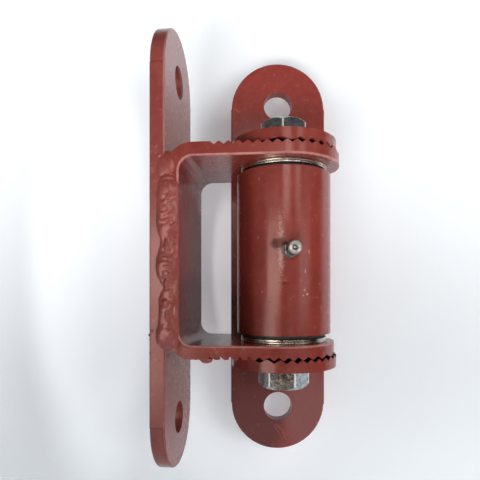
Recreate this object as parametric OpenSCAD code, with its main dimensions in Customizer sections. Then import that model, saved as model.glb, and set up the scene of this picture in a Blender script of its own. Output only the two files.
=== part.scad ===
// Adjustable gate hinge with a greased ball-bearing pivot.
// A slotted, serrated yoke is welded to a post plate. A bolt through the yoke
// carries a barrel on two ball bearings, and the barrel is welded to a gate plate.
// Units are millimetres. +Z runs up along the pivot, +X from the post plate to the
// barrel. The origin is the centre of the post plate's mounting face.

/* [Bar stock] */
// Width of the flat bar that the plates and the yoke are cut from
bar_w = 58.5; // [50:0.5:70]
// Thickness of the post plate and the gate plate
plate_t = 7.94; // [6:0.02:12]
// Thickness of the yoke's bar
yoke_t = 7; // [5:0.1:10]
// Chamfer on the plates' long edges and round ends
edge = 0.6; // [0.2:0.1:1.2]
// Step where a punched round end meets the rolled edge of the bar
end_step = 0.4; // [0.1:0.1:1]

/* [Post plate] */
// Length of the post plate over its round ends
post_len = 241; // [200:1:300]
// Distance between the post plate's two bolt holes
post_hole_gap = 188; // [160:1:230]
// Diameter of the mounting holes in both plates
hole_d = 17.5; // [12:0.5:22]

/* [Gate plate] */
// Length of the gate plate over its round ends
gate_len = 241; // [200:1:300]
// Distance between the gate plate's two bolt holes
gate_hole_gap = 188; // [160:1:230]
// Height of the gate plate's centre above the barrel's centre
gate_rise = 1.5; // [-4:0.5:4]
// Angle of the gate plate to the yoke when it leans on the arms, degrees
gate_turn = 6.8; // [2:0.1:12]
// Gap between the leaning gate plate and the edge of the arms
lean_gap = 0.4; // [0.3:0.05:2]
// Width of the packing bar between the barrel and the gate plate
packing_w = 24; // [14:1:32]

/* [Yoke] */
// Depth of the open throat between the barrel and the yoke's web
throat = 26.2; // [15:0.1:50]
// Inside radius of the yoke's two bends
bend_r = 7; // [4:0.5:12]
// How far the pivot's centre lies below the post plate's centre
yoke_drop = 3; // [-8:0.5:8]
// Gap between the swinging gate plate and the top arm at the slot's inner end
swing_gap = 0.35; // [0.3:0.05:2]
// How much shorter the bottom arm is than the top one
bottom_arm_short = 2.8; // [0:0.1:5]
// Travel of the bolt towards the post, from where it is clamped
slot_in = 3; // [1:0.5:6]
// Travel of the bolt away from the post, from where it is clamped
slot_out = 9; // [4:0.5:10]
// Play of the bolt across the slot, each side
slot_play = 0.4; // [0.2:0.1:1]

/* [Serrations] */
// Distance from one groove to the next
tooth_pitch = 4.8; // [3:0.1:8]
// Depth of the grooves
tooth_depth = 1.6; // [0.8:0.1:2.2]
// Width of the flat left on each crest
tooth_land = 0.7; // [0.3:0.1:1.4]
// Length of the serrated stretch from the pivot towards the post
serration_run = 35.5; // [20:0.5:38]
// Offset of the top arm's grooves from the pivot
top_groove_shift = -0.2; // [-2:0.1:2]
// Offset of the bottom arm's grooves from the pivot
bottom_groove_shift = -1.9; // [-2:0.1:2]
// Diameter of the serrated clamp washers
clamp_d = 56.8; // [44:0.2:60]
// Thickness of the serrated clamp washers
clamp_t = 6.3; // [4:0.1:10]
// Angle of the top washer's grooves to the arm's grooves, degrees
top_clamp_turn = 68; // [0:1:180]
// Angle of the bottom washer's grooves to the arm's grooves, degrees
bottom_clamp_turn = 35; // [0:1:180]
// Offset of the top washer's grooves from its centre
top_clamp_shift = 2.2; // [-2.4:0.1:2.4]
// Offset of the bottom washer's grooves from its centre
bottom_clamp_shift = -0.3; // [-2.4:0.1:2.4]

/* [Bolt and nut] */
// Diameter of the hinge bolt
bolt_d = 15.88; // [12:0.02:20]
// Width across the flats of the bolt's head and the nut
hex_af = 24; // [20:0.5:30]
// Height of the bolt's head
head_h = 11.2; // [7:0.1:14]
// Height of the nut
nut_h = 12; // [8:0.1:18]
// Turn of the bolt's head about the pivot, degrees
head_turn = 29; // [0:1:60]
// Turn of the nut about the pivot, degrees
nut_turn = -3.3; // [-30:0.1:30]
// Height of the chamfer on the hexagons' corners
hex_chamfer = 1.9; // [0.8:0.1:2.5]
// Chamfer on the end of the bolt's thread
bolt_point = 1.2; // [0.5:0.1:2]

/* [Barrel and bearings] */
// Outside diameter of the barrel
barrel_d = 50.8; // [48:0.2:60]
// Length of the barrel
barrel_len = 85; // [60:1:120]
// Width of each ball bearing
bearing_w = 11; // [10:0.5:16]
// Diameter of the bearing balls
ball_d = 6; // [4:0.1:7]
// Number of balls in each bearing
ball_count = 8; // [5:1:9]
// Wall of the bearing rings behind the ball track
track_wall = 1.7; // [1:0.1:2.4]
// Ledge in the barrel that each outer ring rests on
ledge = 2.5; // [1:0.1:3]
// Depth of the bearings below the barrel's ends
recess = 1; // [0.5:0.1:3]

/* [Seals and thrust washers] */
// Diameter of the thrust washers
thrust_d = 46.6; // [38:0.2:50]
// Thickness of each of the two thrust washers at one end
thrust_t = 1.2; // [0.8:0.1:3]
// Diameter of the rubber seals
seal_d = 45; // [36:0.2:48]
// Height of a seal above the barrel's end
seal_t = 1.7; // [1:0.1:4]
// Running gap between a seal and the parts that it turns against
seal_gap = 0.3; // [0.2:0.05:0.6]

/* [Grease nipple] */
// Height of the nipple above the barrel's centre
nipple_rise = 0.5; // [-10:0.5:10]
// Angle of the nipple from the line opposite the gate plate, degrees
nipple_turn = 2; // [-20:1:20]
// Diameter of the nipple's threaded shank
nipple_shank_d = 6; // [4.8:0.1:8]
// Width across the flats of the nipple's hexagon
nipple_af = 8; // [7.6:0.1:12]
// Height of the nipple's hexagon
nipple_hex_h = 3.2; // [2:0.1:5]
// Diameter of the nipple's head
nipple_head_d = 6.5; // [5.5:0.1:7.5]
// Length of the nipple above its hexagon
nipple_stem = 6.4; // [5.5:0.1:9]
// Diameter of the check ball in the nipple
check_ball_d = 2.6; // [1.8:0.1:3]
// Travel of the check ball when grease is pumped in
check_travel = 0.8; // [0.4:0.1:1.2]

/* [Welds] */
// Width of the beads along the yoke's seams
bead_w = 10.8; // [8:0.2:12]
// Height of the beads along the yoke's seams
bead_h = 2.3; // [1:0.1:3]
// Length of the beads along the yoke's seams
bead_len = 93; // [60:1:94]
// How far the beads lean from the seam on to the web
bead_lean = 1.3; // [0:0.1:2]
// How far the beads' middle lies below the pivot's
bead_drop = 2; // [0:0.5:3]
// Height of the broad lumps along a bead
bead_lump = 0.3; // [0:0.05:0.5]
// Distance from one weld ripple to the next
ripple_pitch = 4.4; // [3:0.1:8]
// Depth of the hollows between the weld ripples
ripple_depth = 0.35; // [0.1:0.05:0.8]
// Leg of the welds between the barrel, packing bar and gate plate
fillet_leg = 6.5; // [4:0.5:7]

/* [Hidden] */
// Clearance of the bolt in everything stacked on it
bolt_fit = 0.06;
// Play of the bearing balls in their tracks and of small fitted parts
small_fit = 0.05;
// Play of a ball in its cage pocket
pocket_play = 0.2;
// Height of a ring's shoulders beside its ball track, as a share of the ball's radius
shoulder_share = 0.62;
// Metal left above and below the balls in a cage
cage_rim = 0.9;
// Depth of the nipple's mouth over the check ball
mouth_depth = 0.2;
// Shoulder of the nipple's head outside its waist
head_shoulder = 1;
// Broad lumps along a weld bead
lumps_per_bead = 5;
// How far a cutting shape runs past the face that it cuts
past = 1;
$fn = 96;

pivot_x = plate_t + yoke_t + throat + barrel_d / 2;
pivot_z = -yoke_drop;
web_x = plate_t + yoke_t;
end_gap = 2 * thrust_t + seal_gap + seal_t;
yoke_gap = barrel_len + 2 * end_gap;
arm_in = yoke_gap / 2;
arm_out = arm_in + yoke_t;
gate_face = (bar_w / 2 * (1 + sin(gate_turn)) + lean_gap) / cos(gate_turn);
top_reach = gate_face - slot_in - swing_gap;
bottom_reach = top_reach - bottom_arm_short;
slot_r = bolt_d / 2 + slot_play;
stack_r = bolt_d / 2 + bolt_fit;
hex_r = hex_af / 2 / cos(30);
clamp_out = arm_out + clamp_t;
nut_end = -clamp_out - nut_h;

ball_r = ball_d / 2;
track_r = stack_r + track_wall + ball_r + small_fit;
ring_out = track_r + ball_r + small_fit + track_wall;
land = ball_r * shoulder_share;
bearing_z = barrel_len / 2 - recess - bearing_w / 2;
barrel_bore_r = ring_out - ledge;
collar_r = track_r - land + seal_gap;
collar_in = barrel_len / 2 - recess;
collar_out = arm_in - 2 * thrust_t;
cage_r = [track_r - land / 2, track_r + land / 2];
cage_half_h = ball_r + cage_rim;

spot_face = sqrt(pow(barrel_d / 2, 2) - pow(nipple_af / 2 / cos(30) + small_fit, 2));
nipple_tip = spot_face + nipple_hex_h + nipple_stem;
check_r = check_ball_d / 2;
check_at = nipple_tip - check_r - mouth_depth;

groove_half = (tooth_pitch - tooth_land) / 2;
bead_r = (pow(bead_w / 2, 2) + pow(bead_h, 2)) / (2 * bead_h);

// ---- shapes that repeat ----

// Everything on the pivot is drawn about its own centre
module at_pivot() {
    translate([pivot_x, 0, pivot_z]) children();
}

// What turns with the gate is drawn with the gate plate square behind the barrel
module at_gate() {
    at_pivot() rotate([0, 0, gate_turn]) children();
}

module ring(outer_r, inner_r, low, high) {
    translate([0, 0, low]) difference() {
        cylinder(r = outer_r, h = high - low);
        translate([0, 0, -past]) cylinder(r = inner_r, h = high - low + 2 * past);
    }
}

// Half of a bar's chamfered cross-section, from its middle line to its edge
function half_section(half_w, t) = [
    [0, 0], [half_w - edge, 0], [half_w, edge],
    [half_w, t - edge], [half_w - edge, t], [0, t]];

// A bar with punched round ends, flat on the XY plane and long in Y
module round_ended_bar(len, w, t) {
    end_r = w / 2 - end_step;
    straight = len - 2 * end_r;
    translate([0, straight / 2, 0]) rotate([90, 0, 0]) linear_extrude(height = straight)
        union() {
            polygon(half_section(w / 2, t));
            mirror([1, 0]) polygon(half_section(w / 2, t));
        }
    for (side = [-1, 1])
        translate([0, side * straight / 2, 0]) rotate_extrude() polygon(half_section(end_r, t));
}

module two_hole_plate(len, hole_gap) {
    difference() {
        round_ended_bar(len, bar_w, plate_t);
        for (side = [-1, 1])
            translate([0, side * hole_gap / 2, -past])
                cylinder(d = hole_d, h = plate_t + 2 * past);
    }
}

// Half outline of a weld bead with rounded ends, for turning about the seam
function bead_outline(len, r) =
    let (count = round(len / ripple_pitch), steps = 6 * count)
    concat([[0, -len / 2]],
        [for (i = [0 : steps])
            let (u = i / steps,
                taper = sqrt(1 - pow(abs(2 * u - 1), 10)),
                wave = ripple_depth * (1 - abs(sin(180 * count * u)))
                    + bead_lump * (1 - sin(360 * lumps_per_bead * u)) / 2)
            [max(0.02, (r - wave) * (0.3 + 0.7 * taper)), (u - 0.5) * len]],
        [[0, len / 2]]);

module bead(len, r) {
    rotate_extrude($fn = 48) polygon(bead_outline(len, r));
}

// ---- post side ----

module post_plate() {
    color("#8e403b") rotate([90, 0, 90]) two_hole_plate(post_len, post_hole_gap);
}

// V grooves across an arm: a comb of triangles whose points lie below the surface
module groove_comb(first, last, shift) {
    low = ceil((first - shift) / tooth_pitch);
    high = floor((last - shift) / tooth_pitch);
    for (i = [low : high])
        translate([shift + i * tooth_pitch, 0]) polygon([
            [0, -tooth_depth], [groove_half, 0], [groove_half, past],
            [-groove_half, past], [-groove_half, 0]]);
}

// Side view of the bent bar, before the arms get their round ends
module bent_bar_side() {
    out_r = bend_r + yoke_t;
    back = -throat - barrel_d / 2 - yoke_t;
    difference() {
        union() {
            for (side = [-1, 1]) {
                translate([back + out_r, side * (arm_out - out_r)]) circle(r = out_r);
                translate([back + out_r, side * arm_out - (side > 0 ? yoke_t : 0)])
                    square([top_reach - back - out_r, yoke_t]);
            }
            translate([back, -arm_out + out_r]) square([out_r, 2 * (arm_out - out_r)]);
        }
        for (side = [-1, 1])
            translate([back + out_r, side * (arm_in - bend_r)]) circle(r = bend_r);
        translate([back + yoke_t, -arm_in + bend_r])
            square([out_r + past, 2 * (arm_in - bend_r)]);
        translate([back + out_r, -arm_in]) square([top_reach - back, 2 * arm_in]);
        translate([0, arm_out]) groove_comb(-serration_run, top_reach, top_groove_shift);
        translate([0, -arm_out]) mirror([0, 1])
            groove_comb(-serration_run, top_reach, bottom_groove_shift);
    }
}

// Plan of one arm, round at its free end
module arm_plan(reach) {
    end_r = bar_w / 2;
    back = throat + barrel_d / 2 + yoke_t;
    translate([-back, -end_r]) square([back + reach - end_r, bar_w]);
    translate([reach - end_r, 0]) circle(r = end_r);
}

// Plan of the slot that the bolt slides in
module slot_plan() {
    for (end = [-slot_in, slot_out]) translate([end, 0]) circle(r = slot_r);
    translate([-slot_in, -slot_r]) square([slot_in + slot_out, 2 * slot_r]);
}

module yoke() {
    color("#8a3d38") at_pivot() difference() {
        intersection() {
            translate([0, bar_w / 2, 0]) rotate([90, 0, 0])
                linear_extrude(height = bar_w) bent_bar_side();
            union() {
                linear_extrude(height = arm_out + past) arm_plan(top_reach);
                translate([0, 0, -arm_out - past])
                    linear_extrude(height = arm_out + past) arm_plan(bottom_reach);
            }
        }
        translate([0, 0, -arm_out - past])
            linear_extrude(height = 2 * (arm_out + past)) slot_plan();
    }
}

// Bead on the flush edges of the post plate and the web, on one side of the seam
module seam_weld(side) {
    color("#87403c") translate([plate_t + bead_lean, 0, pivot_z - bead_drop]) difference() {
        translate([0, side * (bar_w / 2 + bead_h - bead_r), 0]) bead(bead_len, bead_r);
        translate([-2 * bead_r, side > 0 ? -bar_w : -bar_w / 2, -bead_len])
            cube([4 * bead_r, bar_w * 1.5, 2 * bead_len]);
    }
}

module front_seam_weld() { seam_weld(-1); }

module rear_seam_weld() { seam_weld(1); }

// ---- pivot: everything clamped on the bolt ----

// A hexagon whose corners are turned off at one end or at both
module chamfered_hexagon(low, high, both) {
    half = (high - low) / 2;
    turned_r = hex_af / 2;
    fall = hex_chamfer / (hex_r - turned_r);
    tall = half * 2 + turned_r * fall;
    intersection() {
        translate([0, 0, low]) cylinder(r = hex_r, h = high - low, $fn = 6);
        translate([0, 0, low - past])
            cylinder(r1 = hex_r + (half * 2 + past - hex_chamfer) / fall, r2 = turned_r,
                h = half * 2 + past);
        if (both)
            translate([0, 0, low])
                cylinder(r1 = turned_r, r2 = turned_r + half * 2 / fall, h = half * 2);
    }
}

module hinge_bolt() {
    color("#b9bfc4") at_pivot() union() {
        rotate([0, 0, head_turn]) chamfered_hexagon(clamp_out, clamp_out + head_h, false);
        translate([0, 0, nut_end + bolt_point])
            cylinder(d = bolt_d, h = clamp_out - nut_end - bolt_point + small_fit);
        translate([0, 0, nut_end])
            cylinder(d1 = bolt_d - 2 * bolt_point, d2 = bolt_d, h = bolt_point);
    }
}

module hex_nut() {
    color("#a9adb0") at_pivot() rotate([0, 0, nut_turn]) difference() {
        rotate([180, 0, 0]) chamfered_hexagon(clamp_out, -nut_end, true);
        translate([0, 0, nut_end - past]) cylinder(r = stack_r, h = nut_h + 2 * past);
    }
}

// A round washer with V grooves across the face that meets the arm
module clamp_washer(turn, shift) {
    reach = clamp_d / 2;
    low = ceil((-reach - shift) / tooth_pitch);
    high = floor((reach - shift) / tooth_pitch);
    color("#8b3e39") difference() {
        ring(reach, stack_r, arm_out, clamp_out);
        rotate([0, 0, turn]) translate([0, reach + past, arm_out]) rotate([90, 0, 0])
            linear_extrude(height = 2 * (reach + past))
                for (i = [low - 1 : high + 1])
                    translate([shift + i * tooth_pitch, 0]) polygon([
                        [0, tooth_depth], [groove_half, 0], [groove_half, -past],
                        [-groove_half, -past], [-groove_half, 0]]);
    }
}

module top_clamp_washer() { at_pivot() clamp_washer(top_clamp_turn, top_clamp_shift); }

module bottom_clamp_washer() {
    at_pivot() mirror([0, 0, 1]) clamp_washer(bottom_clamp_turn, bottom_clamp_shift);
}

module thrust_washer(low) {
    color("#c3c6c2") ring(thrust_d / 2, stack_r, low, low + thrust_t);
}

module top_thrust_washer() { at_pivot() thrust_washer(arm_in - thrust_t); }

module bottom_thrust_washer() { at_pivot() mirror([0, 0, 1]) thrust_washer(arm_in - thrust_t); }

module top_shim_washer() { at_pivot() thrust_washer(arm_in - 2 * thrust_t); }

module bottom_shim_washer() {
    at_pivot() mirror([0, 0, 1]) thrust_washer(arm_in - 2 * thrust_t);
}

// Short collar that carries the clamping force past the seal to the inner ring
module collar() {
    color("#b4b8ba") ring(collar_r, stack_r, collar_in, collar_out);
}

module top_collar() { at_pivot() collar(); }

module bottom_collar() { at_pivot() mirror([0, 0, 1]) collar(); }

module spacer_sleeve() {
    stop = bearing_z - bearing_w / 2;
    color("#9c9f9e") at_pivot() ring(collar_r, stack_r, -stop, stop);
}

// ---- ball bearings ----

// Cross-section of a bearing ring, with its ball track turned out
module ring_section(inner_r, outer_r) {
    difference() {
        translate([inner_r, -bearing_w / 2]) square([outer_r - inner_r, bearing_w]);
        translate([track_r, 0]) circle(r = ball_r + small_fit);
    }
}

module inner_ring() {
    color("#aeb2b5") translate([0, 0, bearing_z]) rotate_extrude()
        ring_section(stack_r, track_r - land);
}

module outer_ring() {
    color("#a6aaad") translate([0, 0, bearing_z]) rotate_extrude()
        ring_section(track_r + land, ring_out);
}

// One shape for each ball, drawn with +X pointing outwards through the ball's centre
module at_each_ball() {
    for (i = [0 : ball_count - 1])
        rotate([0, 0, 360 * i / ball_count]) translate([track_r, 0, bearing_z]) children();
}

module ball_cage() {
    color("#b59a4c") difference() {
        ring(cage_r[1], cage_r[0], bearing_z - cage_half_h, bearing_z + cage_half_h);
        at_each_ball() rotate([0, 90, 0])
            cylinder(r = ball_r + pocket_play, h = ball_d, center = true);
    }
}

module top_inner_ring() { at_pivot() inner_ring(); }

module bottom_inner_ring() { at_pivot() mirror([0, 0, 1]) inner_ring(); }

module top_outer_ring() { at_gate() outer_ring(); }

module bottom_outer_ring() { at_gate() mirror([0, 0, 1]) outer_ring(); }

module bearing_balls() {
    color("#d0d3d6") at_each_ball() sphere(r = ball_r, $fn = 48);
}

module top_bearing_balls() { at_pivot() bearing_balls(); }

module bottom_bearing_balls() { at_pivot() mirror([0, 0, 1]) bearing_balls(); }

module top_ball_cage() { at_pivot() ball_cage(); }

module bottom_ball_cage() { at_pivot() mirror([0, 0, 1]) ball_cage(); }

// ---- gate side ----

// Places a part on the barrel's grease hole, with +Z out along the hole
module at_nipple() {
    at_gate() rotate([90, 0, nipple_turn]) translate([0, nipple_rise, 0]) children();
}

module barrel() {
    seat = recess + bearing_w;
    color("#7f332d") difference() {
        at_gate() difference() {
            translate([0, 0, -barrel_len / 2]) cylinder(d = barrel_d, h = barrel_len);
            translate([0, 0, -barrel_len / 2 - past])
                cylinder(r = barrel_bore_r, h = barrel_len + 2 * past);
            for (side = [0, 1]) mirror([0, 0, side])
                translate([0, 0, barrel_len / 2 - seat])
                    cylinder(r = ring_out + small_fit, h = seat + past);
        }
        at_nipple() {
            cylinder(d = nipple_shank_d + 2 * small_fit, h = barrel_d);
            translate([0, 0, spot_face])
                cylinder(r = nipple_af / 2 / cos(30) + small_fit, h = barrel_d);
        }
    }
}

// Rubber face seal: a flat lip over the barrel's end, with a rib on the outer ring
module seal() {
    base = barrel_len / 2;
    color("#17181a") rotate_extrude() polygon([
        [collar_r + seal_gap, base], [ring_out - ledge, base],
        [ring_out - ledge, base - recess], [ring_out - small_fit, base - recess],
        [ring_out - small_fit, base], [seal_d / 2, base],
        [seal_d / 2, base + seal_t], [collar_r + seal_gap, base + seal_t]]);
}

module top_seal() { at_gate() seal(); }

module bottom_seal() { at_gate() mirror([0, 0, 1]) seal(); }

module packing_bar() {
    color("#7a322d") at_gate()
        translate([-packing_w / 2, barrel_d / 2, -barrel_len / 2 + past])
            cube([packing_w, gate_face - barrel_d / 2, barrel_len - 2 * past]);
}

module gate_plate() {
    color("#8e403b") at_gate() translate([0, gate_face, gate_rise])
        rotate([90, 0, 0]) mirror([0, 0, 1]) two_hole_plate(gate_len, gate_hole_gap);
}

// Weld that fills the corner between the barrel, the packing bar and the gate plate
module barrel_weld(side) {
    deep = gate_face - barrel_d / 2;
    color("#84403b") at_gate() difference() {
        translate([side * packing_w / 2, gate_face - deep / 2, 0])
            bead(barrel_len - 4 * past, fillet_leg);
        translate([0, 0, -barrel_len]) cylinder(d = barrel_d, h = 2 * barrel_len);
        translate([-packing_w / 2, 0, -barrel_len])
            cube([packing_w, gate_face, 2 * barrel_len]);
        translate([-bar_w, gate_face, -barrel_len]) cube([2 * bar_w, bar_w, 2 * barrel_len]);
    }
}

module left_barrel_weld() { barrel_weld(-1); }

module right_barrel_weld() { barrel_weld(1); }

// Straight grease nipple: threaded shank, hexagon, waist and round coupler head
module grease_nipple() {
    shank = spot_face - barrel_bore_r;
    hex_top = spot_face + nipple_hex_h;
    head_r = nipple_head_d / 2;
    waist_r = head_r - head_shoulder;
    mouth_r = check_r * 0.6;
    color("#b8bcc0") at_nipple() difference() {
        union() {
            translate([0, 0, spot_face - shank + past])
                cylinder(d = nipple_shank_d, h = shank - past + small_fit);
            translate([0, 0, spot_face])
                cylinder(r = nipple_af / 2 / cos(30), h = nipple_hex_h, $fn = 6);
            rotate_extrude() polygon([
                [0, hex_top - small_fit], [head_r - small_fit, hex_top - small_fit],
                [waist_r, hex_top + nipple_stem * 0.25], [waist_r, hex_top + nipple_stem * 0.45],
                [head_r, hex_top + nipple_stem * 0.62], [head_r, hex_top + nipple_stem * 0.76],
                [waist_r, nipple_tip], [0, nipple_tip]]);
        }
        translate([0, 0, spot_face - shank]) cylinder(r = mouth_r, h = 2 * shank + nipple_tip);
        translate([0, 0, check_at - check_travel])
            cylinder(r = check_r + small_fit, h = check_travel);
        translate([0, 0, check_at]) sphere(r = check_r + small_fit, $fn = 48);
        translate([0, 0, check_at - check_travel]) sphere(r = check_r + small_fit, $fn = 48);
    }
}

module check_ball() {
    color("#d8dadc") at_nipple() translate([0, 0, check_at]) sphere(r = check_r, $fn = 48);
}

post_plate();
yoke();
front_seam_weld();
rear_seam_weld();
hinge_bolt();
hex_nut();
top_clamp_washer();
bottom_clamp_washer();
top_thrust_washer();
bottom_thrust_washer();
top_shim_washer();
bottom_shim_washer();
top_collar();
bottom_collar();
spacer_sleeve();
top_inner_ring();
bottom_inner_ring();
top_outer_ring();
bottom_outer_ring();
top_bearing_balls();
bottom_bearing_balls();
top_ball_cage();
bottom_ball_cage();
barrel();
top_seal();
bottom_seal();
packing_bar();
gate_plate();
left_barrel_weld();
right_barrel_weld();
grease_nipple();
check_ball();
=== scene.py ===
# %% [markdown]
# # A greasable gate hinge, dressed for a studio picture
# The steel parts come in from the CAD file with their true sizes.
# This lesson gives them what CAD leaves out: soft edges, lumpy weld beads, thick paint and plating.
# Every length is in metres, and every piece stays where the CAD put it.

# %% Load the hinge
import bmesh
import bpy
import math
from mathutils import Matrix, Vector, noise


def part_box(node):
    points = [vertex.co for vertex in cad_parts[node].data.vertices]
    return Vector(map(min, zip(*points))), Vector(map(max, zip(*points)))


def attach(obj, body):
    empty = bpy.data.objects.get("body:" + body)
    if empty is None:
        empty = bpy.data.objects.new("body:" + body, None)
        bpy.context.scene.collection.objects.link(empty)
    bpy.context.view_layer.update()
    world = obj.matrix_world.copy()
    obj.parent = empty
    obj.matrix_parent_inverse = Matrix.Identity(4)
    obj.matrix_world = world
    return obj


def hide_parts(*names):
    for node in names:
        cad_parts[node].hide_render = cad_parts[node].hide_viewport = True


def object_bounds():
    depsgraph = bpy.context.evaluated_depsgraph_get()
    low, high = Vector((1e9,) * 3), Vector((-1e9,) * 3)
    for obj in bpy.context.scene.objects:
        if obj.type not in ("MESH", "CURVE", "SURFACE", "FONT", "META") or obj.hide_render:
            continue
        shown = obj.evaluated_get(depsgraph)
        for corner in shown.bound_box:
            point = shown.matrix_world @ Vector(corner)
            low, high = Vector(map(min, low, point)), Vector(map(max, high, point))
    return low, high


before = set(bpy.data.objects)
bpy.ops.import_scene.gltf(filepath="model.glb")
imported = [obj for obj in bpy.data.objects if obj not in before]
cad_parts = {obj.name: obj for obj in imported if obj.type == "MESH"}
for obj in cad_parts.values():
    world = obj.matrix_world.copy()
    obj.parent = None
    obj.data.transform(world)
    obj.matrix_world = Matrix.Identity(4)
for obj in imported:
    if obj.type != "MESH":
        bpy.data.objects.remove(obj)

MM = 0.001
cad_low, cad_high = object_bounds()
print("CAD box in mm:", [round(v / MM, 1) for v in cad_low], [round(v / MM, 1) for v in cad_high])

# %% [markdown]
# ## Where the pivot is
# Everything on the barrel turns round one upright line, so it is measured once.
# The barrel is round, so the middle of its box is on that line.
# The gate plate hangs turned a few degrees round that line, so it gets a frame of its own.

# %% Pivot line and gate frame
barrel_low, barrel_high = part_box("barrel")
pivot = (barrel_low + barrel_high) / 2
barrel_radius = (barrel_high.x - barrel_low.x) / 2
gate_turn = math.radians(6.8)  # how far the gate plate is turned from square
gate_frame = Matrix.Translation((pivot.x, pivot.y, 0)) @ Matrix.Rotation(gate_turn, 4, "Z")
print("pivot in mm:", [round(v / MM, 2) for v in pivot], "barrel radius:", round(barrel_radius / MM, 2))

# %% [markdown]
# ## The camera
# The hinge is seen from close by, square to the post plate's narrow edge.
# A level camera keeps the plates upright, and a small lens shift lowers the hinge in the frame.
# The lens is short, because the camera stands only a hand's span away.

# %% Camera
lens = bpy.data.cameras.new("studio_camera")
lens.lens, lens.sensor_width = 32.913, 36    # both in millimetres
lens.shift_x, lens.shift_y = -0.0119, 0.1    # shares of the frame's width
lens.clip_start, lens.clip_end = 0.01, 20    # both in metres
camera = bpy.data.objects.new("studio_camera", lens)
bpy.context.scene.collection.objects.link(camera)
standpoint, turned_left = Vector((69.36, -242.55, -21.5)) * MM, math.radians(5.59)
camera.location = standpoint
camera.rotation_euler = (math.radians(90), 0, turned_left)
bpy.context.scene.camera = camera
bpy.context.scene.view_settings.view_transform = "Standard"
print("camera stands", round((camera.location - pivot).length / MM), "mm from the barrel")

# %% [markdown]
# ## Helpers for every finish
# A colour is easiest to choose as a hex value, but shaders add light in linear values.
# One function turns hex to linear, one fills or links a node's inputs, and one adds a node and does both.
# With these, each material below reads like a list of what the real surface has.
# A Mix node hides its sockets for numbers (2, 3), vectors (4, 5) and colours (6, 7), so they go by number.

# %% Colour and node helpers
def linear(hexcode):
    parts = [int(hexcode[i:i + 2], 16) / 255 for i in (1, 3, 5)]
    return tuple(c / 12.92 if c <= 0.04045 else ((c + 0.055) / 1.055) ** 2.4 for c in parts) + (1.0,)


def connect(tree, node, inputs):
    for key, value in inputs.items():
        if isinstance(value, bpy.types.NodeSocket):
            tree.links.new(value, node.inputs[key])
        else:
            node.inputs[key].default_value = value


def add(tree, kind, inputs=None, **settings):
    made = tree.nodes.new(kind)
    for key, value in settings.items():
        setattr(made, key, value)
    connect(tree, made, inputs or {})
    return made


def blank(name):
    material = bpy.data.materials.new(name)
    material.use_nodes = True
    tree = material.node_tree
    tree.nodes.clear()
    surface = add(tree, "ShaderNodeBsdfPrincipled")
    add(tree, "ShaderNodeOutputMaterial", {"Surface": surface.outputs["BSDF"]})
    place = add(tree, "ShaderNodeTexCoord").outputs["Object"]
    return material, tree, surface, place


print("a grain of one millimetre needs a noise scale of", round(1 / MM))

# %% [markdown]
# ## Marks on the paint
# Real paint is never even: there are scuffs, chips and pale specks, and marks of the same kind also paint in
# shade, shadows, reflections and glints.
# A mark could be painted on an image, but an ellipsoid with a ragged rim is easy to place in millimetres.
# The distance from its middle, upset by noise, says how much of the mark's colour is mixed in.
# So a mark is written as its middle and radii in millimetres, its colour and its strength.
# Two more numbers may follow: how ragged its rim is, and how coarse the rags are in millimetres.

# %% Mark helper
def mark(tree, place, under, middle, radii, hexcode, strength=1.0, ragged=0.5, grain=1.2):
    usual = 1.2 * ragged    # what the noise adds on average, taken off again so that the size stays true
    away = add(tree, "ShaderNodeVectorMath", {0: place, 1: Vector(middle) * MM}, operation="SUBTRACT")
    sized = add(tree, "ShaderNodeVectorMath", {0: away.outputs[0], 1: Vector([1 / (r * MM) for r in radii])},
                operation="MULTIPLY")
    reach = add(tree, "ShaderNodeVectorMath", {0: sized.outputs[0]}, operation="LENGTH")
    rim = add(tree, "ShaderNodeTexNoise",
              {"Vector": place, "Scale": 1 / (grain * MM), "Detail": 3.0, "Roughness": 0.6})
    torn = add(tree, "ShaderNodeMath", {0: rim.outputs["Fac"], 1: 2 * usual, 2: reach.outputs["Value"]},
               operation="MULTIPLY_ADD")
    share = add(tree, "ShaderNodeMapRange",
                {"Value": torn.outputs[0], "From Min": 0.55 + usual, "From Max": 1.0 + usual,
                 "To Min": strength, "To Max": 0.0}, interpolation_type="SMOOTHSTEP")
    mixed = add(tree, "ShaderNodeMix", {"Factor": share.outputs[0], 6: under, 7: linear(hexcode)},
                data_type="RGBA")
    return mixed.outputs[2], share.outputs[0]


print("marks are placed in mm from the middle of the post plate's mounting face")

# %% [markdown]
# ## Red-oxide primer
# The bars are dipped or sprayed with glossy red-oxide primer, an alkyd paint full of iron oxide.
# It is thick, so it dries with a slight orange peel about a millimetre wide, in paler and browner clouds.
# Dust that fell in while it was wet leaves small pale specks, and dry spots are rougher than wet ones.
# Clouds, specks and peel are separate noises, each at its real size, mixed into colour, roughness and bump.
# Where spray dust landed half dry, a gritty patch has a stronger and finer bump.
# Where the film is thin it dries matt, so a matt patch mirrors less.

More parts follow.
